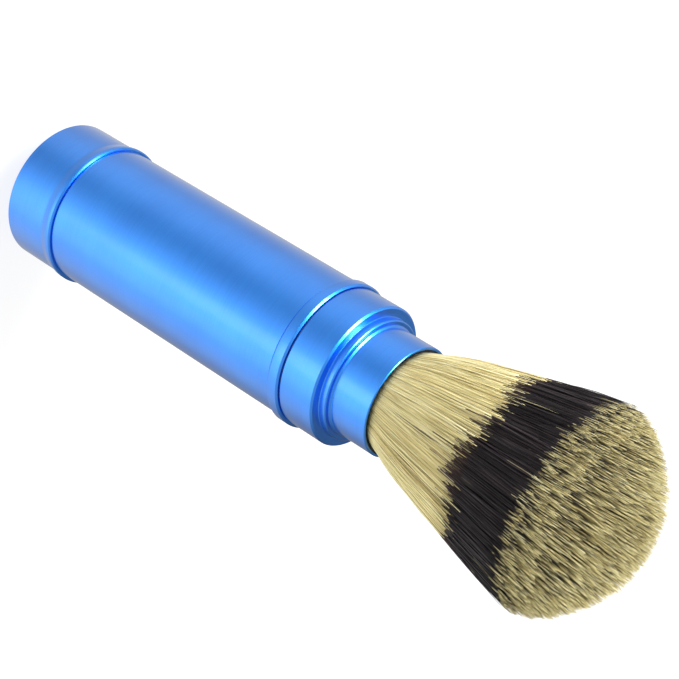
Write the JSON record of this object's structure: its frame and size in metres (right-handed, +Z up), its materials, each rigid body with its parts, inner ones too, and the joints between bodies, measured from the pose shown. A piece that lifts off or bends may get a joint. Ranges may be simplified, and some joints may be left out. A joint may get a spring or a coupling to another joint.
{
  "type": "travel brush",
  "caption": "Travel brush with a tubular aluminium handle, a screwed brush head with a flared bristle knot, and a screwed end cap.",
  "frame": {"origin": "centre of the end cap's foot, on the surface that the brush stands on", "axes": "+Z up the handle to the bristle tips; the brush is round, so +X and +Y are any two directions across it"},
  "size_m": [0.0396, 0.0396, 0.1437],
  "materials": {
    "anodised": "satin blue anodised, finely turned",
    "seal": "matte",
    "foam": "matte foam",
    "cup": "matte",
    "resin": "cast resin",
    "thread": "wound thread",
    "bristle": "fine straight hair, cream with a dark band"
  },
  "bodies": {
    "handle": {"handle_tube": "anodised", "front_ring": "anodised", "rear_bush": "anodised"},
    "head_carriage": {"head_seal": "seal"},
    "brush_head": {"head_collar": "anodised", "ferrule": "anodised", "knot_cup": "cup", "knot_plug": "resin", "knot_binding": "thread", "bristle_knot": "bristle"},
    "cap_carriage": {"cap_seal": "seal"},
    "end_cap": {"end_cap": "anodised", "cap_liner": "foam"}
  },
  "joints": [
    {"name": "head_rise", "type": "slide", "parent": "handle", "child": "head_carriage", "axis": [0, 0, 1], "range_m": [0, 0.0065]},
    {"name": "head_twist", "type": "hinge", "parent": "head_carriage", "child": "brush_head", "pos_m": [0, 0, 0.075], "axis": [0, 0, 1], "range_deg": [0, 2268]},
    {"name": "cap_drop", "type": "slide", "parent": "handle", "child": "cap_carriage", "axis": [0, 0, -1], "range_m": [0, 0.0072]},
    {"name": "cap_twist", "type": "hinge", "parent": "cap_carriage", "child": "end_cap", "pos_m": [0, 0, 0], "axis": [0, 0, -1], "range_deg": [0, 2520]}
  ],
  "couplings": [
    {"joint": "head_rise", "follows": "head_twist", "m_per_rad": 0.00015915},
    {"joint": "cap_drop", "follows": "cap_twist", "m_per_rad": 0.00015915}
  ]
}
